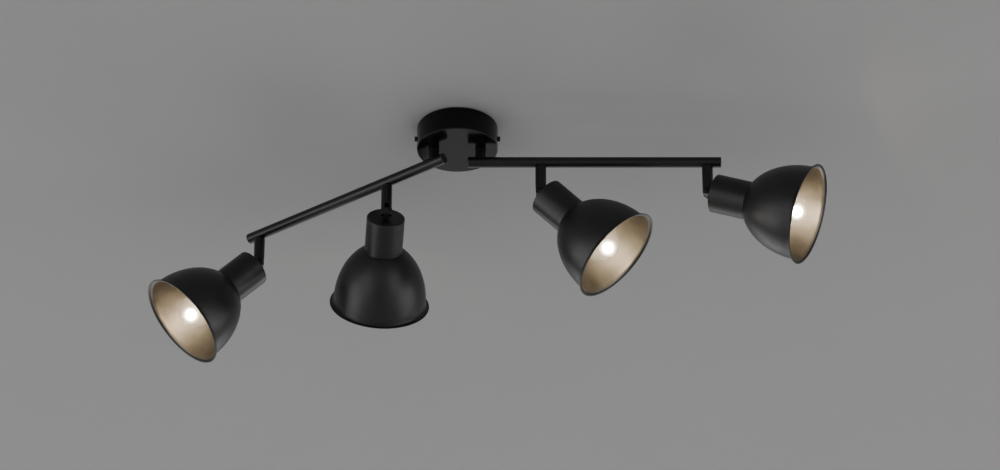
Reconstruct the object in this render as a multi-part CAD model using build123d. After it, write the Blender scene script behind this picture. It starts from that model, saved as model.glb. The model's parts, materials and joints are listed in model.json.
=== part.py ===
from build123d import *
from math import asin, cos, radians, sin, sqrt
import os

# Ceiling spot bar: a round canopy, two arms that swivel on hollow posts, and two tilting heads on each arm.
# Millimetres, +Z up. The origin is the centre of the canopy's top, in the plane of the ceiling, and the
# posts stand side by side along X.

# Canopy and what it holds
CANOPY_RADIUS = 50.0
CANOPY_HEIGHT = 30.5
CANOPY_WALL = 1.2
CANOPY_EDGE = 1.2
SIDE_SCREW_Z = -14.0
SIDE_SCREW_RADIUS = 2.0
SIDE_SCREW_HEAD_RADIUS = 3.2
SIDE_SCREW_HEAD_LENGTH = 2.8
SIDE_SCREW_REACH = 5.0
KNURL_RADIUS = 0.35
KNURL_STEP = 30
BRACKET_WIDTH = 20.0
BRACKET_THICKNESS = 2.0
BRACKET_HALF_LENGTH = 47.3
BRACKET_LIP_DEPTH = 20.0
CEILING_SLOT_SPACING = 60.0
CEILING_SLOT_LENGTH = 12.0
CEILING_SLOT_WIDTH = 5.0
CABLE_HOLE_RADIUS = 6.0
BLOCK_X = -14.0
BLOCK_LENGTH = 32.0
BLOCK_WIDTH = 14.0
BLOCK_HEIGHT = 12.0
BLOCK_EDGE = 1.0
POLE_Z = -BRACKET_THICKNESS - BLOCK_HEIGHT / 2
POLE_SPACING = 10.0
SLEEVE_RADIUS = 2.4
SLEEVE_BORE = 1.4
SLEEVE_LENGTH = 12.0
CLAMP_SCREWS_X = (-3.5, 3.5)
CLAMP_SCREW_RADIUS = 1.3
CLAMP_SCREW_LENGTH = 3.2
DRIVER_HOLE_RADIUS = 1.6
EARTH_SCREW_X = 15.0
EARTH_WASHER_RADIUS = 4.2
EARTH_HEAD_RADIUS = 3.6
EARTH_HEAD_HEIGHT = 2.4
EARTH_HEAD_EDGE = 0.8

# Posts and arms
POST_X = 28.7
POST_RADIUS = 6.5
POST_THREAD_RADIUS = 4.95
POST_BORE = 3.0
POST_TOP_Z = -17.0
POST_NUT_FLATS = 14.0
POST_NUT_THICKNESS = 3.5
POST_WASHER_RADIUS = 8.6
WASHER_THICKNESS = 0.8
ARM_Z = -48.3
ARM_RADIUS = 6.6
ARM_WALL = 1.0
ARM_INBOARD = 16.0
ARM_OUTBOARD = 296.0
PLUG_FACE = 1.5
PLUG_EDGE = 0.9
PLUG_DEPTH = 7.0
SADDLE_WASHER_RADIUS = 4.9
SADDLE_WASHER_TOP = -2.6
INNER_SPOT = 74.0
OUTER_SPOT = 278.8
LEAD_RADIUS = 1.0
LEAD_OFFSET = 1.45
STEM_LEAD_OFFSET = 0.9
LEAD_Z = 2.7
LEAD_RUN_IN = 4.2
LEAD_GAP = 0.5
LEAD_HOLE_RADIUS = 1.5

# Stems and the forks at their lower ends
STEM_RADIUS = 6.7
STEM_NECK_RADIUS = 4.0
STEM_BORE = 2.0
STEM_GAP = 0.3
STEM_NUT_RADIUS = 4.6
STEM_NUT_THICKNESS = 2.1
PIVOT_DROP = 42.6
STEM_NUT_TOP = PIVOT_DROP - 0.4
SLOT_WIDTH = 5.2
SLOT_TOP = 8.0
TAB_THICKNESS = 5.0
TAB_RADIUS = 6.0
PIVOT_RADIUS = 2.0
PIVOT_HEAD_RADIUS = 3.3
PIVOT_HEAD_STANDS_OUT = 0.4
PIVOT_SEAT = 5.5
PIVOT_NUT_FLATS = 5.5

# Heads, measured along their own axis from the tilt pivot
CUP_START = 8.8
CUP_LENGTH = 46.3
CUP_RADIUS = 23.6
CUP_WALL = 1.2
CUP_EDGE = 1.6
FLANGE_RADIUS = 10.0
FLANGE_THICKNESS = 2.0
HOLDER_RADIUS = 13.9
HOLDER_REACH = 20.9
HOLDER_RIM = 3.0
SOCKET_DEPTH = 12.4
SHADE_START = CUP_START + CUP_LENGTH
SHADE_WALL = 1.0
DOME_RADIUS = 57.8
DOME_REACH = 72.0
DOME_MIDDLE = -SHADE_START - DOME_REACH
DOME_STEPS = 6
LIP_FLARE = 3.9
RING_RADIUS = 19.5
RING_LENGTH = 6.0
RING_NOTCH_RADIUS = 0.9
RING_NOTCH_STEP = 20
GLOBE_RADIUS = 22.5
GLOBE_CENTRE = 107.0
GLASS_WALL = 0.7
LAMP_LENGTH = 78.0
LAMP_CONTACT = LAMP_LENGTH - GLOBE_CENTRE - GLOBE_RADIUS
LAMP_CAP_LENGTH = 20.5
LAMP_CAP_FRONT = LAMP_CONTACT - LAMP_CAP_LENGTH
LAMP_CAP_RADIUS = 6.95
LAMP_CAP_WALL = 0.4
LAMP_SHOULDER_ANGLE = 40
LAMP_NECK_DEPTH = 4.0
CONTACT_RADIUS = 2.2
CONTACT_HEIGHT = 1.4

# Fits and small details used throughout
RUNNING_CLEARANCE = 0.05
LOOSE_CLEARANCE = 0.2
SMALL_EDGE = 0.5
DRIVER_SLOT_LENGTH = 7.0
DRIVER_SLOT_WIDTH = 0.8

# Where each arm points, and how each head is turned and tilted, in degrees. A swivel of 0 points along +X
# and a tilt of 0 hangs straight down.
ARMS = {
    "left": {"post_x": -POST_X, "direction": 142.8},
    "right": {"post_x": POST_X, "direction": 0.0},
}
SPOTS = {
    "left_outer": {"arm": "left", "reach": OUTER_SPOT, "swivel": 188.7, "tilt": 45.0},
    "left_inner": {"arm": "left", "reach": INNER_SPOT, "swivel": 95.2, "tilt": 59.9},
    "right_inner": {"arm": "right", "reach": INNER_SPOT, "swivel": -3.8, "tilt": 43.9},
    "right_outer": {"arm": "right", "reach": OUTER_SPOT, "swivel": -12.4, "tilt": 68.2},
}


def turned(*outline):
    """A solid turned about Z from a closed outline of (radius, z) points."""
    return revolve(Plane.XZ * make_face(Polyline(*outline, close=True)), axis=Axis.Z)


def ring(outer, inner, low, high):
    """A plain ring about Z."""
    return turned((inner, low), (outer, low), (outer, high), (inner, high))


def rod(radius, low, high):
    """A round rod along Z."""
    return Pos(0, 0, (low + high) / 2) * Cylinder(radius, high - low)


def cross_rod(radius, low, high):
    """A round rod along Y."""
    return Rot(-90, 0, 0) * rod(radius, low, high)


def hexagon(across_flats, bore, low, high):
    """A hexagon nut about Z."""
    outline = RegularPolygon(across_flats / 2, 6, major_radius=False)
    nut = extrude(Pos(0, 0, low) * outline, high - low)
    return nut - rod(bore, low, high)


def driver_slot(face, width):
    """The bar cut from a screw head to leave a slot as deep as it is wide, from the face at z = face."""
    return Pos(0, 0, face) * Box(DRIVER_SLOT_LENGTH, width, 2 * width)


def lead(points, radii):
    """An insulated wire along straight runs joined by tangent arcs."""
    path = FilletPolyline(*points, radius=radii)
    return sweep(Plane(origin=path @ 0, z_dir=path % 0) * Circle(LEAD_RADIUS), path=path)


# Canopy

def canopy_cover():
    """Pressed cup with its open side at the ceiling, two post holes and two screw holes."""
    shell = rod(CANOPY_RADIUS, -CANOPY_HEIGHT, 0)
    shell = fillet(shell.edges().group_by(Axis.Z)[0], CANOPY_EDGE)
    shell -= rod(CANOPY_RADIUS - CANOPY_WALL, -CANOPY_HEIGHT + CANOPY_WALL, 0)
    for side in (-1, 1):
        hole = rod(POST_THREAD_RADIUS + RUNNING_CLEARANCE, -CANOPY_HEIGHT, 0)
        shell -= Pos(side * POST_X, 0, 0) * hole
    screw_hole = Rot(0, 90, 0) * rod(SIDE_SCREW_RADIUS + LOOSE_CLEARANCE, -CANOPY_RADIUS, CANOPY_RADIUS)
    return shell - Pos(0, 0, SIDE_SCREW_Z) * screw_hole


def mounting_bracket():
    """Steel strap that is screwed to the ceiling, with turned-down ends for the side screws."""
    strap = Pos(0, 0, -BRACKET_THICKNESS / 2) * Box(2 * BRACKET_HALF_LENGTH, BRACKET_WIDTH, BRACKET_THICKNESS)
    end = Box(BRACKET_THICKNESS, BRACKET_WIDTH, BRACKET_LIP_DEPTH)
    for side in (-1, 1):
        x = side * (BRACKET_HALF_LENGTH - BRACKET_THICKNESS / 2)
        strap += Pos(x, 0, -BRACKET_LIP_DEPTH / 2) * end
    screw_line = Rot(0, 90, 0) * rod(SIDE_SCREW_RADIUS, -CANOPY_RADIUS, CANOPY_RADIUS)
    strap -= Pos(0, 0, SIDE_SCREW_Z) * screw_line
    strap -= rod(CABLE_HOLE_RADIUS, -BRACKET_THICKNESS, 0)
    strap -= Pos(EARTH_SCREW_X, 0, 0) * rod(SIDE_SCREW_RADIUS, -BRACKET_THICKNESS, 0)
    slot = extrude(SlotOverall(CEILING_SLOT_LENGTH, CEILING_SLOT_WIDTH), -BRACKET_THICKNESS)
    for side in (-1, 1):
        strap -= Pos(side * CEILING_SLOT_SPACING / 2, 0, 0) * slot
    return strap


def side_screw():
    """Knurled screw along X, its head outside the canopy at +X."""
    seat = CANOPY_RADIUS + RUNNING_CLEARANCE
    face = CANOPY_RADIUS + SIDE_SCREW_HEAD_LENGTH
    shank = rod(SIDE_SCREW_RADIUS, BRACKET_HALF_LENGTH - SIDE_SCREW_REACH, seat)
    head = rod(SIDE_SCREW_HEAD_RADIUS, seat, face)
    head = fillet(head.edges().group_by(Axis.Z)[-1], SMALL_EDGE)
    groove = Pos(SIDE_SCREW_HEAD_RADIUS + KNURL_RADIUS / 2, 0, 0) * rod(KNURL_RADIUS, seat, face)
    for turn in range(0, 360, KNURL_STEP):
        head -= Rot(0, 0, turn) * groove
    return Pos(0, 0, SIDE_SCREW_Z) * Rot(0, 90, 0) * (shank + head)


def canopy_side_screws():
    return [side_screw(), Rot(0, 0, 180) * side_screw()]


def pole_places():
    """Where the three poles of the terminal block are, at mid-height of the block."""
    return [Pos(BLOCK_X, y, POLE_Z) for y in (-POLE_SPACING, 0, POLE_SPACING)]


def terminal_block():
    """Three-pole moulded block under the bracket, open along X at each pole and from below at each screw."""
    block = fillet(Box(BLOCK_WIDTH, BLOCK_LENGTH, BLOCK_HEIGHT).edges().filter_by(Axis.Z), BLOCK_EDGE)
    block = Pos(BLOCK_X, 0, POLE_Z) * block
    wire_hole = Rot(0, 90, 0) * rod(SLEEVE_RADIUS, -BLOCK_WIDTH / 2, BLOCK_WIDTH / 2)
    driver_hole = rod(DRIVER_HOLE_RADIUS, -BLOCK_HEIGHT / 2, 0)
    for place in pole_places():
        block -= place * wire_hole
        for x in CLAMP_SCREWS_X:
            block -= place * Pos(x, 0, 0) * driver_hole
    return block


def terminal_clamps():
    """Brass sleeves that take the wires."""
    sleeve = Rot(0, 90, 0) * ring(SLEEVE_RADIUS, SLEEVE_BORE, -SLEEVE_LENGTH / 2, SLEEVE_LENGTH / 2)
    for x in CLAMP_SCREWS_X:
        sleeve -= Pos(x, 0, 0) * rod(CLAMP_SCREW_RADIUS, -SLEEVE_RADIUS, 0)
    return [place * sleeve for place in pole_places()]


def terminal_screws():
    """Two clamping screws for each pole, entered from below."""
    face = -SLEEVE_BORE - CLAMP_SCREW_LENGTH
    screw = rod(CLAMP_SCREW_RADIUS, face, -SLEEVE_BORE) - driver_slot(face, SMALL_EDGE)
    return [place * Pos(x, 0, 0) * screw for place in pole_places() for x in CLAMP_SCREWS_X]


def earth_screw():
    """Pan-head screw with a washer, up into the bracket."""
    seat = -BRACKET_THICKNESS - WASHER_THICKNESS
    face = seat - EARTH_HEAD_HEIGHT
    washer = ring(EARTH_WASHER_RADIUS, SIDE_SCREW_RADIUS, seat, -BRACKET_THICKNESS)
    head = rod(EARTH_HEAD_RADIUS, face, seat)
    head = fillet(head.edges().group_by(Axis.Z)[0], EARTH_HEAD_EDGE)
    screw = head + rod(SIDE_SCREW_RADIUS, seat, 0) - driver_slot(face, DRIVER_SLOT_WIDTH)
    return [Pos(EARTH_SCREW_X, 0, 0) * washer, Pos(EARTH_SCREW_X, 0, 0) * screw]


def canopy_wiring():
    """Leads from the terminal block to the open top of each post."""
    wires = []
    for side in (-1, 1):
        start_x = BLOCK_X + side * SLEEVE_LENGTH / 2
        bend_x = side * (POST_X - LEAD_RUN_IN)
        for y in (-1, 1):
            points = [
                (start_x, y * POLE_SPACING, POLE_Z),
                (bend_x, y * POLE_SPACING, POLE_Z),
                (side * POST_X, y * LEAD_OFFSET, POLE_Z),
                (side * POST_X, y * LEAD_OFFSET, POST_TOP_Z + LEAD_GAP),
            ]
            wires.append(lead(points, (2.0, 3.0)))
    return wires


# Arms, modelled along +X from the post's axis, with the tube's axis at z = 0

def arm_tube():
    """Round tube with a hole on top for the post and two underneath for the stems."""
    length = ARM_INBOARD + ARM_OUTBOARD - 2 * PLUG_FACE
    tube = Rot(0, 90, 0) * ring(ARM_RADIUS, ARM_RADIUS - ARM_WALL, 0, length)
    tube = Pos(PLUG_FACE - ARM_INBOARD, 0, 0) * tube
    tube -= rod(POST_THREAD_RADIUS, 0, ARM_RADIUS)
    for reach in (INNER_SPOT, OUTER_SPOT):
        hole = rod(STEM_NECK_RADIUS + RUNNING_CLEARANCE, -ARM_RADIUS, 0)
        tube -= Pos(reach, 0, 0) * hole
    return tube


def end_plug():
    """Moulded plug that fills the tube's end, its face at x = 0 and its spigot towards -X."""
    face = fillet(rod(ARM_RADIUS, -PLUG_FACE, 0).edges().group_by(Axis.Z)[-1], PLUG_EDGE)
    spigot = ring(ARM_RADIUS - ARM_WALL, ARM_RADIUS - 2 * ARM_WALL, -PLUG_DEPTH, -PLUG_FACE)
    return Rot(0, 90, 0) * (face + spigot)


def arm_end_plugs():
    outer = Pos(ARM_OUTBOARD, 0, 0) * end_plug()
    inner = Pos(-ARM_INBOARD, 0, 0) * Rot(0, 0, 180) * end_plug()
    return [outer, inner]


def arm_post():
    """Hollow post: a collar that saddles the tube, and a threaded neck through the tube and the canopy."""
    underside = -CANOPY_HEIGHT - ARM_Z
    top = POST_TOP_Z - ARM_Z
    collar = rod(POST_RADIUS, 0, underside - 2 * RUNNING_CLEARANCE)
    collar -= Rot(0, 90, 0) * rod(ARM_RADIUS, -2 * POST_RADIUS, 2 * POST_RADIUS)
    neck = rod(POST_THREAD_RADIUS, ARM_RADIUS - 2 * ARM_WALL, top)
    return collar + neck - rod(POST_BORE, 0, top)


def post_nut():
    """Washer and hexagon nut on the post, above the canopy's floor."""
    low = CANOPY_WALL - CANOPY_HEIGHT - ARM_Z + LOOSE_CLEARANCE
    seat = low + WASHER_THICKNESS
    washer = ring(POST_WASHER_RADIUS, POST_THREAD_RADIUS, low, seat)
    nut = hexagon(POST_NUT_FLATS, POST_THREAD_RADIUS, seat, seat + POST_NUT_THICKNESS)
    return [washer, nut]


def saddle_washer():
    """Washer inside the tube that gives the stem's nut a flat seat."""
    body = rod(SADDLE_WASHER_RADIUS, -ARM_RADIUS, SADDLE_WASHER_TOP)
    body &= Rot(0, 90, 0) * rod(ARM_RADIUS - ARM_WALL, -ARM_RADIUS, ARM_RADIUS)
    return body - rod(STEM_NECK_RADIUS + RUNNING_CLEARANCE, -ARM_RADIUS, 0)


def saddle_washers():
    return [Pos(reach, 0, 0) * saddle_washer() for reach in (INNER_SPOT, OUTER_SPOT)]


def arm_wiring():
    """One lead to each spot, from the top of the post through the tube and down the stem."""
    top = POST_TOP_Z - ARM_Z
    bottom = SLOT_TOP - PIVOT_DROP + 2 * LEAD_RADIUS
    bends = (4.5, 4.0)
    wires = []
    for side, reach in ((-1, INNER_SPOT), (1, OUTER_SPOT)):
        points = [
            (0, side * LEAD_OFFSET, top),
            (0, side * LEAD_OFFSET, LEAD_Z),
            (reach, side * STEM_LEAD_OFFSET, LEAD_Z),
            (reach, side * STEM_LEAD_OFFSET, bottom),
        ]
        wires.append(lead(points, bends))
    return wires


# Stems, modelled upright with the tilt pivot at the origin and its axis along Y

def stem():
    """Hollow stem with a rounded fork at the bottom and a threaded neck that enters the arm."""
    shoulder = PIVOT_DROP - ARM_RADIUS - STEM_GAP
    body = rod(STEM_RADIUS, 0, shoulder)
    rounded = rod(STEM_RADIUS, -STEM_RADIUS, 0) & cross_rod(STEM_RADIUS, -STEM_RADIUS, STEM_RADIUS)
    body += rounded
    body += rod(STEM_NECK_RADIUS, shoulder, STEM_NUT_TOP + LOOSE_CLEARANCE)
    body -= rod(STEM_BORE, 0, PIVOT_DROP)
    slot_height = SLOT_TOP + STEM_RADIUS
    slot = Pos(0, 0, SLOT_TOP - slot_height / 2) * Box(3 * STEM_RADIUS, SLOT_WIDTH, slot_height)
    body -= slot
    body -= cross_rod(PIVOT_RADIUS, -STEM_RADIUS, STEM_RADIUS)
    recess = PIVOT_HEAD_RADIUS + LOOSE_CLEARANCE
    body -= cross_rod(recess, -STEM_RADIUS, -PIVOT_SEAT)
    return body - cross_rod(recess, PIVOT_SEAT, STEM_RADIUS)


def stem_nut():
    """Round nut on the stem's neck, inside the arm's tube."""
    return ring(STEM_NUT_RADIUS, STEM_NECK_RADIUS, STEM_NUT_TOP - STEM_NUT_THICKNESS, STEM_NUT_TOP)


def pivot_screw():
    """Screw through the fork with a slotted head, and its nut."""
    face = -STEM_RADIUS - PIVOT_HEAD_STANDS_OUT
    head = rod(PIVOT_HEAD_RADIUS, face, -PIVOT_SEAT)
    head = fillet(head.edges().group_by(Axis.Z)[0], SMALL_EDGE)
    screw = head + rod(PIVOT_RADIUS, -PIVOT_SEAT, STEM_RADIUS) - driver_slot(face, DRIVER_SLOT_WIDTH)
    nut = hexagon(PIVOT_NUT_FLATS, PIVOT_RADIUS, PIVOT_SEAT, STEM_RADIUS)
    return [Rot(-90, 0, 0) * screw, Rot(-90, 0, 0) * nut]


# Heads, modelled hanging straight down with the tilt pivot at the origin and its axis along Y

def lead_hole():
    """The drilling that lets the lead past the tab, through the cup's back and the tab's flange."""
    depth = CUP_START + CUP_WALL + FLANGE_THICKNESS
    return Pos(-TAB_RADIUS - LEAD_HOLE_RADIUS - LOOSE_CLEARANCE, 0, 0) * rod(LEAD_HOLE_RADIUS, -depth, 0)


def hinge_tab():
    """Cast tab with an eye in the fork, reaching through the cup's back to a flange inside."""
    flange_top = CUP_START + CUP_WALL
    tab = cross_rod(TAB_RADIUS, -TAB_THICKNESS / 2, TAB_THICKNESS / 2)
    tab += Pos(0, 0, -flange_top / 2) * Box(2 * TAB_RADIUS, TAB_THICKNESS, flange_top)
    tab += rod(FLANGE_RADIUS, -flange_top - FLANGE_THICKNESS, -flange_top)
    tab -= lead_hole()
    return tab - cross_rod(PIVOT_RADIUS + RUNNING_CLEARANCE, -TAB_THICKNESS, TAB_THICKNESS)


def cup():
    """Cylindrical cup with a slotted back, open towards the shade."""
    shell = rod(CUP_RADIUS, -SHADE_START, -CUP_START)
    shell = fillet(shell.edges().group_by(Axis.Z)[-1], CUP_EDGE)
    shell -= rod(CUP_RADIUS - CUP_WALL, -SHADE_START, -CUP_START - CUP_WALL)
    shell -= Pos(0, 0, -CUP_START) * Box(2 * TAB_RADIUS, TAB_THICKNESS, 4 * CUP_WALL)
    return shell - lead_hole()


def lampholder():
    """Moulded small-screw lampholder, its threaded front standing through the shade's back."""
    back = -CUP_START - CUP_WALL - FLANGE_THICKNESS
    front = -SHADE_START - HOLDER_REACH
    mouth_radius = HOLDER_RADIUS - HOLDER_RIM
    socket_front = -SHADE_START - SOCKET_DEPTH
    socket_radius = LAMP_CAP_RADIUS + LOOSE_CLEARANCE
    return turned(
        (0, back),
        (HOLDER_RADIUS, back),
        (HOLDER_RADIUS, front),
        (mouth_radius, front),
        (mouth_radius, socket_front),
        (socket_radius, socket_front),
        (socket_radius, LAMP_CONTACT),
        (0, LAMP_CONTACT),
    )


def dome_curve(wall):
    """Elliptical outline from the dome's widest circle to its back: the outer one at a wall of 0."""
    radius = DOME_RADIUS - wall
    half_length = DOME_REACH / sqrt(1 - (CUP_RADIUS / DOME_RADIUS) ** 2) - wall
    last = asin((DOME_REACH - wall) / half_length)
    angles = [last * step / DOME_STEPS for step in range(DOME_STEPS + 1)]
    points = [(radius * cos(angle), DOME_MIDDLE + half_length * sin(angle)) for angle in angles]
    return Spline(*points, tangents=[(0, 1), (-radius * sin(last), half_length * cos(last))])


def shade():
    """Spun bell: a flat back, an elliptical dome and a lip that flares outwards to a rounded edge."""
    back = -SHADE_START
    hole = HOLDER_RADIUS + 2 * RUNNING_CLEARANCE
    lip_centre = DOME_RADIUS + LIP_FLARE
    outer_dome = dome_curve(0)
    inner_dome = dome_curve(SHADE_WALL)
    outline = Line((hole, back), outer_dome @ 1)
    outline += outer_dome
    outline += CenterArc((lip_centre, DOME_MIDDLE), LIP_FLARE, 180, 90)
    outline += CenterArc((lip_centre, DOME_MIDDLE - LIP_FLARE - SHADE_WALL / 2), SHADE_WALL / 2, -90, 180)
    outline += CenterArc((lip_centre, DOME_MIDDLE), LIP_FLARE + SHADE_WALL, 180, 90)
    outline += inner_dome
    outline += Line(inner_dome @ 1, (hole, back - SHADE_WALL))
    outline += Line((hole, back - SHADE_WALL), (hole, back))
    return revolve(Plane.XZ * make_face(outline), axis=Axis.Z)


def shade_ring():
    """Threaded ring that clamps the shade on the lampholder."""
    high = -SHADE_START - SHADE_WALL
    body = ring(RING_RADIUS, HOLDER_RADIUS, high - RING_LENGTH, high)
    notch = Pos(RING_RADIUS, 0, 0) * rod(RING_NOTCH_RADIUS, high - RING_LENGTH, high)
    for turn in range(0, 360, RING_NOTCH_STEP):
        body -= Rot(0, 0, turn) * notch
    return body


def bulb_glass():
    """Golf-ball lamp envelope: a thin globe with a neck that enters the cap."""
    centre = -GLOBE_CENTRE
    neck = LAMP_CAP_RADIUS - LAMP_CAP_WALL
    shoulder = radians(LAMP_SHOULDER_ANGLE)
    neck_end = LAMP_CAP_FRONT + LAMP_NECK_DEPTH

    def side(globe_radius, neck_radius):
        start = (globe_radius * cos(shoulder), centre + globe_radius * sin(shoulder))
        globe = CenterArc((0, centre), globe_radius, -90, 90 + LAMP_SHOULDER_ANGLE)
        leaving = (-sin(shoulder), cos(shoulder))
        throat = Spline(start, (neck_radius, LAMP_CAP_FRONT), tangents=[leaving, (0, 1)])
        tail = Line((neck_radius, LAMP_CAP_FRONT), (neck_radius, neck_end))
        return globe + throat + tail

    outline = side(GLOBE_RADIUS, neck) + side(GLOBE_RADIUS - GLASS_WALL, neck - GLASS_WALL)
    outline += Line((0, centre - GLOBE_RADIUS), (0, centre - GLOBE_RADIUS + GLASS_WALL))
    outline += Line((neck, neck_end), (neck - GLASS_WALL, neck_end))
    return revolve(Plane.XZ * make_face(outline), axis=Axis.Z)


def bulb_cap():
    """Small Edison-screw cap with its centre contact and the rim that grips the glass."""
    inside = LAMP_CAP_RADIUS - LAMP_CAP_WALL
    floor = LAMP_CAP_FRONT + LAMP_NECK_DEPTH + LOOSE_CLEARANCE
    return turned(
        (0, LAMP_CONTACT),
        (CONTACT_RADIUS, LAMP_CONTACT),
        (CONTACT_RADIUS, LAMP_CONTACT - CONTACT_HEIGHT),
        (LAMP_CAP_RADIUS - CONTACT_HEIGHT, LAMP_CONTACT - 2 * CONTACT_HEIGHT),
        (LAMP_CAP_RADIUS, LAMP_CONTACT - 3 * CONTACT_HEIGHT),
        (LAMP_CAP_RADIUS, LAMP_CAP_FRONT),
        (inside, LAMP_CAP_FRONT),
        (inside, floor),
        (0, floor),
    )


# Assembly

def arm_place(name):
    arm = ARMS[name]
    return Pos(arm["post_x"], 0, ARM_Z) * Rot(0, 0, arm["direction"])


def stem_place(name):
    """The upright frame at a spot's tilt pivot, turned to the spot's swivel."""
    spot = SPOTS[name]
    arm = ARMS[spot["arm"]]
    x = arm["post_x"] + spot["reach"] * cos(radians(arm["direction"]))
    y = spot["reach"] * sin(radians(arm["direction"]))
    return Pos(x, y, ARM_Z - PIVOT_DROP) * Rot(0, 0, spot["swivel"])


def head_place(name):
    return stem_place(name) * Rot(0, -SPOTS[name]["tilt"], 0)


CANOPY_PARTS = {
    "canopy_cover": canopy_cover,
    "mounting_bracket": mounting_bracket,
    "canopy_side_screws": canopy_side_screws,
    "terminal_block": terminal_block,
    "terminal_clamps": terminal_clamps,
    "terminal_screws": terminal_screws,
    "earth_screw": earth_screw,
    "canopy_wiring": canopy_wiring,
}
ARM_PARTS = {
    "arm_tube": arm_tube,
    "arm_end_plugs": arm_end_plugs,
    "arm_post": arm_post,
    "post_nut": post_nut,
    "saddle_washers": saddle_washers,
    "arm_wiring": arm_wiring,
}
STEM_PARTS = {
    "stem": stem,
    "stem_nut": stem_nut,
    "pivot_screw": pivot_screw,
}
HEAD_PARTS = {
    "hinge_tab": hinge_tab,
    "cup": cup,
    "lampholder": lampholder,
    "shade": shade,
    "shade_ring": shade_ring,
    "bulb_glass": bulb_glass,
    "bulb_cap": bulb_cap,
}


def write_parts(prefix, parts, place):
    """Write each part in its place, as one STEP file with one solid for each separate piece."""
    for name, make in parts.items():
        made = make()
        pieces = made if isinstance(made, list) else [made]
        solids = [solid for piece in pieces for solid in (place * piece).solids()]
        export_step(Compound(children=solids), f"parts/{prefix}{name}.step")


os.makedirs("parts", exist_ok=True)
write_parts("", CANOPY_PARTS, Pos(0, 0, 0))
for arm_name in ARMS:
    write_parts(f"{arm_name}_", ARM_PARTS, arm_place(arm_name))
for spot_name in SPOTS:
    write_parts(f"{spot_name}_", STEM_PARTS, stem_place(spot_name))
    write_parts(f"{spot_name}_", HEAD_PARTS, head_place(spot_name))
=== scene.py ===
import json
from math import asin, cos, pi, radians, sin, sqrt

import bmesh
import bpy
from mathutils import Matrix, Vector


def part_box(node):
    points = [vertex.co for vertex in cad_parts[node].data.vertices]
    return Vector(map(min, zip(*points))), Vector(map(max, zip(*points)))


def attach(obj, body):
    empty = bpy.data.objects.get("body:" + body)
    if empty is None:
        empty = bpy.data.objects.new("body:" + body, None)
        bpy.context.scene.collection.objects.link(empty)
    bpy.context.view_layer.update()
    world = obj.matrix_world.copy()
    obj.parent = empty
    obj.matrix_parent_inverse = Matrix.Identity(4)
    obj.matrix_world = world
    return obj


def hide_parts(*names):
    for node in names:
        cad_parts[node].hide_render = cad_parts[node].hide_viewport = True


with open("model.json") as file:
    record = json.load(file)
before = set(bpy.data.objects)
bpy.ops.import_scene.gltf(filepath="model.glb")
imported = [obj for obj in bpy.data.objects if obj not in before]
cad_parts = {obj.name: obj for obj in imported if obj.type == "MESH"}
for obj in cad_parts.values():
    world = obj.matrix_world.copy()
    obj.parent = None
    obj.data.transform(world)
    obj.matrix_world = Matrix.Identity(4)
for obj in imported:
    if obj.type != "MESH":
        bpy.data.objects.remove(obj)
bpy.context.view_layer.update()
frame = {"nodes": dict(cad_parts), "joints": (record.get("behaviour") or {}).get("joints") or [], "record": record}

JOINTS = {joint["name"]: joint for joint in frame["joints"]}
SPOTS = ("left_outer", "left_inner", "right_inner", "right_outer")
MM = 0.001
ALONG = "along_outline"


# Camera: it stands well back and low, and looks up at the ceiling through a long lens.

CAMERA_RISE = 31.8  # degrees above level
CAMERA_DISTANCE = 5.3759
CAMERA_LENS = 158.87
SENSOR_WIDTH = 36.0
AIM = Vector((0.0526, 0.0, -0.1534))

camera = bpy.data.objects.new("camera", bpy.data.cameras.new("camera"))
bpy.context.scene.collection.objects.link(camera)
bpy.context.scene.camera = camera
camera.data.sensor_width = SENSOR_WIDTH
camera.data.lens = CAMERA_LENS
camera.rotation_euler = (pi / 2 + radians(CAMERA_RISE), 0, 0)
looking = Vector((0, cos(radians(CAMERA_RISE)), sin(radians(CAMERA_RISE))))
camera.location = AIM - CAMERA_DISTANCE * looking


# Tools for materials

NOISE_LOW, NOISE_HIGH = 0.3, 0.7


def add(tree, kind, **values):
    """A node whose inputs take the given values: a socket is linked and anything else is set."""
    node = tree.nodes.new(kind)
    for label, value in values.items():
        socket = node.inputs[label.replace("_", " ")]
        if isinstance(value, bpy.types.NodeSocket):
            tree.links.new(value, socket)
        else:
            socket.default_value = value
    return node


def maths(tree, operation, first, second):
    """A number worked out from two others."""
    node = tree.nodes.new("ShaderNodeMath")
    node.operation = operation
    for socket, value in zip(node.inputs, (first, second)):
        if isinstance(value, bpy.types.NodeSocket):
            tree.links.new(value, socket)
        else:
            socket.default_value = value
    return node.outputs[0]


def place_in_object(tree):
    """Where a point of the surface is, in the object's own space."""
    return tree.nodes.new("ShaderNodeTexCoord").outputs["Object"]


def noise(tree, size, detail=2.0):
    """Noise whose lumps are about size metres across, from 0 to 1."""
    place = place_in_object(tree)
    return add(tree, "ShaderNodeTexNoise", Vector=place, Scale=1 / size, Detail=detail).outputs["Fac"]


def spun_lines(tree, size):
    """Noise that changes only along a turned outline: fine rings, as spinning leaves them."""
    along = tree.nodes.new("ShaderNodeAttribute")
    along.attribute_name = ALONG
    node = tree.nodes.new("ShaderNodeTexNoise")
    node.noise_dimensions = "1D"
    node.inputs["Scale"].default_value = 1 / size
    node.inputs["Detail"].default_value = 3.0
    tree.links.new(along.outputs["Fac"], node.inputs["W"])
    return node.outputs["Fac"]


def spread(tree, value, low, high):
    """Noise stretched to run from low to high."""
    ends = {"From_Min": NOISE_LOW, "From_Max": NOISE_HIGH, "To_Min": low, "To_Max": high}
    return add(tree, "ShaderNodeMapRange", Value=value, **ends).outputs[0]


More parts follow.
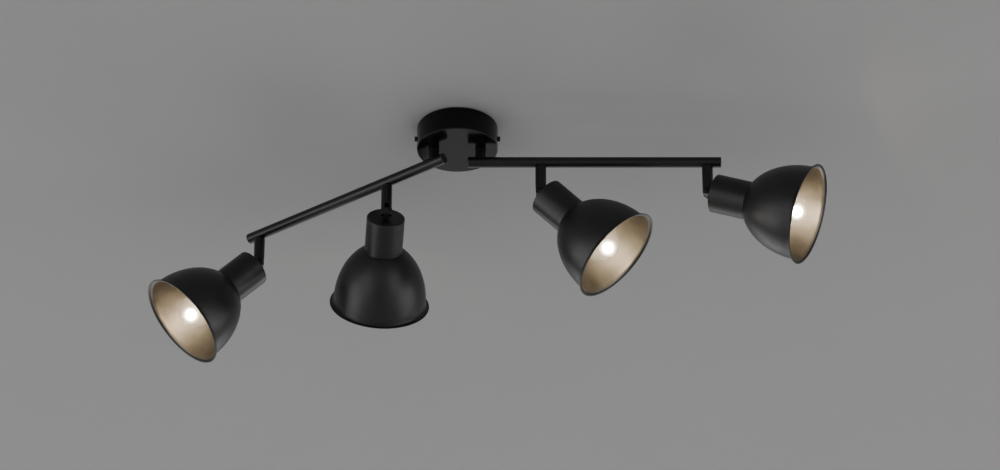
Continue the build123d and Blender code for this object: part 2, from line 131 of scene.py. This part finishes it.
def between(tree, share, first, second):
    """A colour between two others."""
    node = tree.nodes.new("ShaderNodeMix")
    node.data_type = "RGBA"
    tree.links.new(share, node.inputs["Factor"])
    node.inputs["A"].default_value = (*first, 1)
    node.inputs["B"].default_value = (*second, 1)
    return [socket for socket in node.outputs if socket.type == "RGBA"][0]


def bump(tree, height, depth, normal=None):
    """Bumps depth metres high."""
    node = add(tree, "ShaderNodeBump", Height=height, Distance=depth)
    if normal is not None:
        tree.links.new(normal, node.inputs["Normal"])
    return node.outputs["Normal"]


def material(name, **fixed):
    """A new material, its tree and its shader, with the values that are the same all over."""
    made = bpy.data.materials.new(name)
    made.use_nodes = True
    shader = made.node_tree.nodes["Principled BSDF"]
    for label, value in fixed.items():
        shader.inputs[label.replace("_", " ")].default_value = value
    return made, made.node_tree, shader


def join(tree, shader, **links):
    """Links values that vary over the surface to the shader."""
    for label, value in links.items():
        tree.links.new(value, shader.inputs[label.replace("_", " ")])


def coated(name, dark, light, roughness, grain, depth, patch=30 * MM, **fixed):
    """Paint, plastic or plate: two near shades in soft patches, uneven gloss and a fine grain."""
    made, tree, shader = material(name, **fixed)
    patches = noise(tree, patch, 3.0)
    fine = noise(tree, grain, 2.0)
    join(
        tree,
        shader,
        Base_Color=between(tree, spread(tree, patches, 0.0, 1.0), dark, light),
        Roughness=spread(tree, noise(tree, patch / 3, 4.0), *roughness),
        Normal=bump(tree, fine, depth),
    )
    return made


# Materials, one for each slot of the record and more for the pieces made here

GLOSS_BLACK = coated(
    "gloss_black_canopy",
    (0.0012, 0.0012, 0.0013),
    (0.0020, 0.0020, 0.0021),
    roughness=(0.13, 0.19),
    grain=2.5 * MM,
    depth=0.006 * MM,
    Specular_IOR_Level=0.25,
)
SATIN_BLACK = coated(
    "satin_black_tube",
    (0.0022, 0.0022, 0.0024),
    (0.0036, 0.0036, 0.0038),
    roughness=(0.30, 0.38),
    grain=0.5 * MM,
    depth=0.02 * MM,
    Specular_IOR_Level=0.46,
)
CUP_BLACK = coated(
    "black_cup",
    (0.0028, 0.0028, 0.0030),
    (0.0045, 0.0045, 0.0047),
    roughness=(0.36, 0.43),
    grain=0.5 * MM,
    depth=0.025 * MM,
    Specular_IOR_Level=0.5,
)
SCREW_BLACK = coated(
    "black_screws",
    (0.01, 0.01, 0.01),
    (0.02, 0.019, 0.018),
    roughness=(0.28, 0.42),
    grain=0.3 * MM,
    depth=0.02 * MM,
    Metallic=0.6,
)
PLUG_BLACK = coated(
    "black_plastic",
    (0.009, 0.009, 0.009),
    (0.013, 0.013, 0.013),
    roughness=(0.42, 0.55),
    grain=0.4 * MM,
    depth=0.03 * MM,
)
ZINC = coated(
    "zinc_steel",
    (0.50, 0.50, 0.53),
    (0.66, 0.66, 0.67),
    roughness=(0.25, 0.42),
    grain=0.6 * MM,
    depth=0.02 * MM,
    patch=6 * MM,
    Metallic=1.0,
)
BRASS = coated(
    "brass",
    (0.72, 0.52, 0.24),
    (0.84, 0.65, 0.34),
    roughness=(0.22, 0.38),
    grain=0.6 * MM,
    depth=0.02 * MM,
    patch=6 * MM,
    Metallic=1.0,
)
NICKEL = coated(
    "nickel_cap",
    (0.62, 0.59, 0.53),
    (0.76, 0.73, 0.67),
    roughness=(0.18, 0.32),
    grain=0.5 * MM,
    depth=0.02 * MM,
    patch=6 * MM,
    Metallic=1.0,
)
WHITE_PLASTIC = coated(
    "white_plastic",
    (0.74, 0.73, 0.70),
    (0.82, 0.81, 0.78),
    roughness=(0.30, 0.42),
    grain=0.7 * MM,
    depth=0.03 * MM,
)
INSULATION = coated(
    "wire_insulation",
    (0.66, 0.63, 0.55),
    (0.76, 0.73, 0.65),
    roughness=(0.42, 0.55),
    grain=0.5 * MM,
    depth=0.03 * MM,
    patch=8 * MM,
)


PAINT_RINGS, PAINT_RING_DEPTH = 2.2 * MM, 0.02 * MM
PAINT_GRAIN, PAINT_GRAIN_DEPTH = 0.5 * MM, 0.035 * MM
PAINT_COLOUR_PATCH, PAINT_GLOSS_PATCH = 25 * MM, 9 * MM


def shade_outside(name, dark, light, roughness, gloss):
    """Powder coat over spun steel: the paint's fine grain, and faint rings that show through it."""
    made, tree, shader = material(name, Specular_IOR_Level=gloss)
    rings = bump(tree, spun_lines(tree, PAINT_RINGS), PAINT_RING_DEPTH)
    patches = noise(tree, PAINT_COLOUR_PATCH, 3.0)
    join(
        tree,
        shader,
        Base_Color=between(tree, spread(tree, patches, 0.0, 1.0), dark, light),
        Roughness=spread(tree, noise(tree, PAINT_GLOSS_PATCH, 4.0), *roughness),
        Normal=bump(tree, noise(tree, PAINT_GRAIN), PAINT_GRAIN_DEPTH, rings),
    )
    return made


SHADE_BLACK = shade_outside(
    "black_shade",
    (0.0028, 0.0028, 0.0030),
    (0.0045, 0.0045, 0.0047),
    roughness=(0.35, 0.43),
    gloss=0.53,
)
LIP_BLACK = shade_outside(
    "black_shade_lip",
    (0.004, 0.004, 0.0042),
    (0.006, 0.006, 0.0062),
    roughness=(0.34, 0.40),
    gloss=0.35,
)


SILVER_DARK, SILVER_LIGHT = (0.215, 0.187, 0.143), (0.30, 0.262, 0.203)
COARSE_RINGS, COARSE_DEPTH = 1.6 * MM, 0.025 * MM
FINE_RINGS, FINE_DEPTH = 0.5 * MM, 0.02 * MM
SILVER_CLOUD = 18 * MM
RINGS_IN_TINT, CLOUD_IN_TINT = 0.3, 0.7


def shade_inside():
    """Warm silver lacquer on the spun inside, with the rings that the spinning tool left."""
    made, tree, shader = material("warm_silver_lining", Metallic=1.0)
    coarse = spun_lines(tree, COARSE_RINGS)
    fine = spun_lines(tree, FINE_RINGS)
    cloud = noise(tree, SILVER_CLOUD, 4.0)
    from_rings = maths(tree, "MULTIPLY", coarse, RINGS_IN_TINT)
    from_cloud = maths(tree, "MULTIPLY", cloud, CLOUD_IN_TINT)
    tint = maths(tree, "ADD", from_rings, from_cloud)
    join(
        tree,
        shader,
        Base_Color=between(tree, spread(tree, tint, 0.0, 1.0), SILVER_DARK, SILVER_LIGHT),
        Roughness=spread(tree, fine, 0.38, 0.48),
        Normal=bump(tree, fine, FINE_DEPTH, bump(tree, coarse, COARSE_DEPTH)),
    )
    return made


WARM_SILVER = shade_inside()


def facing(tree, power):
    """1 where glass is seen square on, and falling to 0 towards its rim."""
    rim = add(tree, "ShaderNodeLayerWeight", Blend=0.5).outputs["Facing"]
    return maths(tree, "POWER", maths(tree, "SUBTRACT", 1.0, rim), power)


RIM_ALPHA, SQUARE_ON_ALPHA = 0.12, 0.03
# GLASS_GLOW: strength of a painted glow that the glass gives off itself, standing in for the lamp's light that it
# scatters.
GLASS_GLOW = 3.0


def lamp_glass():
    """Thin, slightly frosted glass: nearly clear where it is seen square on, and paler towards its rim, with a
    painted glow that is brightest where it is seen square on.
    """
    made, tree, shader = material("frosted_glass", Emission_Color=(1.0, 0.84, 0.62, 1))
    clear = facing(tree, 0.5)
    alpha = add(tree, "ShaderNodeMapRange", Value=clear, To_Min=RIM_ALPHA, To_Max=SQUARE_ON_ALPHA)
    join(
        tree,
        shader,
        Alpha=alpha.outputs[0],
        # Painted glow: the glass emits warm light of its own, brightest where it is seen square on.
        Emission_Strength=maths(tree, "MULTIPLY", facing(tree, 3.0), GLASS_GLOW),
        Base_Color=between(tree, noise(tree, 12 * MM), (0.36, 0.33, 0.28), (0.42, 0.40, 0.36)),
        Roughness=spread(tree, noise(tree, 2 * MM, 3.0), 0.20, 0.32),
        Normal=bump(tree, noise(tree, 0.6 * MM), 0.02 * MM),
    )
    return made


GLASS = lamp_glass()


def lamp_glow():
    """The lit diffuser inside the lamp, a little brighter in some places than in others."""
    made, tree, shader = material(
        "lamp_glow",
        Base_Color=(0.9, 0.88, 0.84, 1),
        Roughness=0.5,
        Emission_Strength=75.0,
    )
    tone = spread(tree, noise(tree, 5 * MM), 0.0, 1.0)
    join(tree, shader, Emission_Color=between(tree, tone, (1.0, 0.87, 0.71), (1.0, 0.90, 0.77)))
    return made


GLOW = lamp_glow()


def lamp_halo():
    """A painted glow round the diffuser: a shell like frosted glass that gives off warm light of its own and fades
    towards the rim.
    """
    made, tree, shader = material(
        "lamp_halo",
        Base_Color=(0.2, 0.19, 0.17, 1),
        Roughness=0.5,
        Emission_Strength=14.0,
    )
    # Painted glow: the shell's own light, fading towards its rim.
    fade = maths(tree, "MULTIPLY", facing(tree, 3.0), spread(tree, noise(tree, 6 * MM), 0.33, 0.37))
    join(
        tree,
        shader,
        Alpha=fade,
        Emission_Color=between(tree, noise(tree, 5 * MM), (1.0, 0.80, 0.56), (1.0, 0.85, 0.64)),
    )
    return made


HALO = lamp_halo()

SLOT_MATERIALS = {
    "gloss_black_canopy": GLOSS_BLACK,
    "satin_black_tube": SATIN_BLACK,
    "black_cup": CUP_BLACK,
    "black_shade": SHADE_BLACK,
    "black_screws": SCREW_BLACK,
    "black_plastic": PLUG_BLACK,
    "zinc_steel": ZINC,
    "brass": BRASS,
    "nickel_cap": NICKEL,
    "white_plastic": WHITE_PLASTIC,
    "wire_insulation": INSULATION,
    "frosted_glass": GLASS,
}
for row in frame["record"]["subparts"]:
    for holder in frame["nodes"][row["node"]].material_slots:
        holder.material = SLOT_MATERIALS[row["material_slot"]]


# Pieces made here: each shade, finely turned and with its own finish inside, and the light in each lamp with a
# painted glow round it

SHADE_WALL = 1.0 * MM
DOME_RADIUS = 57.8 * MM
DOME_REACH = 72.0 * MM
LIP_FLARE = 3.9 * MM
HOLE_CLEARANCE = 0.1 * MM
SAME_POINT = 0.001 * MM
TURNS = 144
DOME_STEPS = 36
ARC_STEPS = 8
GLOW_STEPS = 24
SHARP_EDGE = 40  # degrees
GLOW_RADIUS = 7.0 * MM
HALO_RADIUS = 11.4 * MM
GLOW_BACK = 12.5 * MM
OUTSIDE, LIP, INSIDE = range(3)


def head_place(spot):
    """A head's own frame: its origin on the tilt axis, and +Z from the mouth back to the cup."""
    tilt = JOINTS[f"{spot}_tilt"]
    pivot = Vector(tilt["pos_m"])
    low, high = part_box(f"{spot}_lampholder")
    back = (pivot - (low + high) / 2).normalized()
    side = Vector(tilt["axis"]).normalized()
    across = side.cross(back)
    place = Matrix((across, side, back)).transposed().to_4x4()
    place.translation = pivot
    return place


def measure(node, place):
    """(lowest z, highest z, largest radius) of a CAD node in a head's frame."""
    inverse = place.inverted()
    points = [inverse @ vertex.co for vertex in frame["nodes"][node].data.vertices]
    heights = [point.z for point in points]
    return min(heights), max(heights), max(point.to_2d().length for point in points)


def arc(centre, radius, start, turn):
    """Points on an arc of (radius, z) space, from start degrees through turn degrees."""
    angles = [radians(start + turn * step / ARC_STEPS) for step in range(ARC_STEPS + 1)]
    return [(centre[0] + radius * cos(angle), centre[1] + radius * sin(angle)) for angle in angles]


def dome(wall, middle, cup_radius):
    """Points on the dome's ellipse from its widest circle to its back."""
    radius = DOME_RADIUS - wall
    half_length = DOME_REACH / sqrt(1 - (cup_radius / DOME_RADIUS) ** 2) - wall
    last = asin((DOME_REACH - wall) / half_length)
    angles = [last * step / DOME_STEPS for step in range(DOME_STEPS + 1)]
    return [(radius * cos(angle), middle + half_length * sin(angle)) for angle in angles]


def turned(name, outline, materials, place, closed):
    """A piece turned about its place's Z axis from (radius, z, material number) points."""
    shape = bmesh.new()
    along = shape.verts.layers.float.new(ALONG)
    rings = []
    distance = 0.0
    for index, (radius, z, _) in enumerate(outline):
        if index:
            distance += (Vector(outline[index][:2]) - Vector(outline[index - 1][:2])).length
        angles = [2 * pi * turn / TURNS for turn in range(TURNS if radius > 0.0 else 1)]
        points = [Vector((radius * cos(angle), radius * sin(angle), z)) for angle in angles]
        ring = [shape.verts.new(place @ point) for point in points]
        for vertex in ring:
            vertex[along] = distance
        rings.append(ring)
    last = len(rings) if closed else len(rings) - 1
    for index in range(last):
        near, far = rings[index], rings[(index + 1) % len(rings)]
        for turn in range(TURNS):
            after = (turn + 1) % TURNS
            corners = [near[turn % len(near)], near[after % len(near)]]
            corners += [far[after % len(far)], far[turn % len(far)]]
            face = shape.faces.new(list(dict.fromkeys(corners)))
            face.material_index = outline[index][2]
            face.smooth = True
    bmesh.ops.recalc_face_normals(shape, faces=shape.faces)
    mesh = bpy.data.meshes.new(name)
    shape.to_mesh(mesh)
    shape.free()
    mesh.set_sharp_from_angle(angle=radians(SHARP_EDGE))
    for made in materials:
        mesh.materials.append(made)
    piece = bpy.data.objects.new(name, mesh)
    bpy.context.scene.collection.objects.link(piece)
    return piece


def tagged(points, number):
    """(radius, z) points with the number of their material."""
    return [(radius, z, number) for radius, z in points]


def make_shade(spot, place):
    """A shade's shell: down the outside from the holder's hole, round the lip, and up the inside."""
    _, back, _ = measure(f"{spot}_shade", place)
    _, _, cup_radius = measure(f"{spot}_cup", place)
    _, _, holder_radius = measure(f"{spot}_lampholder", place)
    middle = back - DOME_REACH
    hole = holder_radius + HOLE_CLEARANCE
    lip_centre = DOME_RADIUS + LIP_FLARE
    outline = tagged([(hole, back), *reversed(dome(0.0, middle, cup_radius))], OUTSIDE)
    outline += tagged(arc((lip_centre, middle), LIP_FLARE, 180, 90), LIP)
    outline += tagged(arc((lip_centre, middle - LIP_FLARE - SHADE_WALL / 2), SHADE_WALL / 2, 90, -180), LIP)
    outline += tagged(arc((lip_centre, middle), LIP_FLARE + SHADE_WALL, 270, -45), LIP)
    outline += tagged(arc((lip_centre, middle), LIP_FLARE + SHADE_WALL, 225, -45), INSIDE)
    outline += tagged([*dome(SHADE_WALL, middle, cup_radius), (hole, back - SHADE_WALL)], INSIDE)
    kept = [outline[0]]
    for point in outline[1:]:
        if (Vector(point[:2]) - Vector(kept[-1][:2])).length > SAME_POINT:
            kept.append(point)
        else:
            kept[-1] = point
    piece = turned(f"{spot}_shade_shell", kept, (SHADE_BLACK, LIP_BLACK, WARM_SILVER), place, True)
    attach(piece, f"{spot}_head")
    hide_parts(f"{spot}_shade")


def make_ball(spot, place, name, radius, finish):
    """A ball in the front of the lamp's globe."""
    front, _, _ = measure(f"{spot}_bulb_glass", place)
    centre = front + GLOW_BACK
    angles = [pi * step / GLOW_STEPS for step in range(1, GLOW_STEPS)]
    ball = [(0.0, centre - radius, 0)]
    ball += [(radius * sin(angle), centre - radius * cos(angle), 0) for angle in angles]
    ball += [(0.0, centre + radius, 0)]
    piece = turned(f"{spot}_{name}", ball, (finish,), place, False)
    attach(piece, f"{spot}_head")


for spot in SPOTS:
    place = head_place(spot)
    make_shade(spot, place)
    make_ball(spot, place, "lamp_glow", GLOW_RADIUS, GLOW)
    make_ball(spot, place, "lamp_halo", HALO_RADIUS, HALO)


# The room: a pale ceiling that holds the object, a pale floor far below, and soft lights. The ceiling is open
# above the canopy, where the canopy hides the hole, so that light reaches the canopy's inside from above.

ROOM_RADIUS = 8.0
FLOOR_Z = -3.2
CEILING_Z = 1 * MM
CEILING_COLOUR = (0.32, 0.318, 0.318)
CEILING_HOLE_SHARE = 0.97
FLOOR_COLOUR = (0.56, 0.55, 0.54)
FLOOR_HOLE = 1 * MM  # too small to see
ROOM_PAINT_CLOUD = 0.6
ROOM_PAINT_DARKER = 0.97
ROOM_PAINT_GRAIN, ROOM_PAINT_DEPTH = 4 * MM, 0.02 * MM


def one_sided(name, colour):
    """Matte paint that shows only from its front, so that nothing is hidden from the other side."""
    made, tree, shader = material(name, Roughness=0.8)
    tone = spread(tree, noise(tree, ROOM_PAINT_CLOUD, 3.0), 0.0, 1.0)
    darker = tuple(ROOM_PAINT_DARKER * part for part in colour)
    grain = bump(tree, noise(tree, ROOM_PAINT_GRAIN), ROOM_PAINT_DEPTH)
    join(tree, shader, Base_Color=between(tree, tone, darker, colour), Normal=grain)
    clear = tree.nodes.new("ShaderNodeBsdfTransparent")
    mix = tree.nodes.new("ShaderNodeMixShader")
    tree.links.new(tree.nodes.new("ShaderNodeNewGeometry").outputs["Backfacing"], mix.inputs["Fac"])
    tree.links.new(shader.outputs["BSDF"], mix.inputs[1])
    tree.links.new(clear.outputs["BSDF"], mix.inputs[2])
    tree.links.new(mix.outputs["Shader"], tree.nodes["Material Output"].inputs["Surface"])
    return made


def flat_sheet(name, height, hole, faces_up, colour):
    """A large round level sheet with a round hole in the middle."""
    shape = bmesh.new()
    angles = [2 * pi * turn / TURNS for turn in range(TURNS)]
    rings = []
    for radius in (hole, ROOM_RADIUS):
        points = [(radius * cos(angle), radius * sin(angle), height) for angle in angles]
        rings.append([shape.verts.new(point) for point in points])
    inner, outer = rings
    for turn in range(TURNS):
        after = (turn + 1) % TURNS
        corners = [inner[turn], outer[turn], outer[after], inner[after]]
        shape.faces.new(corners if faces_up else corners[::-1])
    mesh = bpy.data.meshes.new(name)
    shape.to_mesh(mesh)
    shape.free()
    mesh.materials.append(one_sided(name, colour))
    sheet = bpy.data.objects.new(name, mesh)
    bpy.context.scene.collection.objects.link(sheet)


cover_low, cover_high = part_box("canopy_cover")
ceiling_hole = CEILING_HOLE_SHARE * (cover_high[0] - cover_low[0]) / 2
flat_sheet("ceiling", CEILING_Z, ceiling_hole, False, CEILING_COLOUR)
flat_sheet("floor", FLOOR_Z, FLOOR_HOLE, True, FLOOR_COLOUR)

PANEL_HEIGHT_SHARE = 0.9
WORLD_COLOUR = (0.82, 0.84, 0.88, 1)
WORLD_STRENGTH = 0.2


def panel(name, azimuth, distance, width, brightness):
    """A tall soft light panel that stands round the object and faces it: azimuth 0 is the camera's side."""
    height = PANEL_HEIGHT_SHARE * (CEILING_Z - FLOOR_Z)
    light = bpy.data.lights.new(name, "AREA")
    light.shape = "RECTANGLE"
    light.size, light.size_y = width, height
    light.energy = brightness * pi * width * height
    lamp = bpy.data.objects.new(name, light)
    turn = radians(azimuth)
    lamp.location = (distance * sin(turn), -distance * cos(turn), (CEILING_Z + FLOOR_Z) / 2)
    lamp.rotation_euler = (pi / 2, 0, turn)
    lamp.visible_camera = False
    bpy.context.scene.collection.objects.link(lamp)


panel("left_panel", -85, 3.6, 3.0, 2.0)
panel("right_panel", 85, 3.6, 3.0, 1.9)
panel("front_left_panel", -42, 3.6, 2.2, 1.2)
panel("front_right_panel", 42, 3.6, 2.2, 1.2)
panel("back_left_panel", -150, 3.6, 2.4, 1.8)
panel("back_right_panel", 150, 3.6, 2.4, 1.8)
panel("back_panel", 180, 3.8, 1.5, 0.7)
panel("front_panel", 0, 4.2, 3.0, 0.35)

world = bpy.data.worlds.new("room")
world.use_nodes = True
background = world.node_tree.nodes["Background"]
background.inputs["Color"].default_value = WORLD_COLOUR
background.inputs["Strength"].default_value = WORLD_STRENGTH
bpy.context.scene.world = world
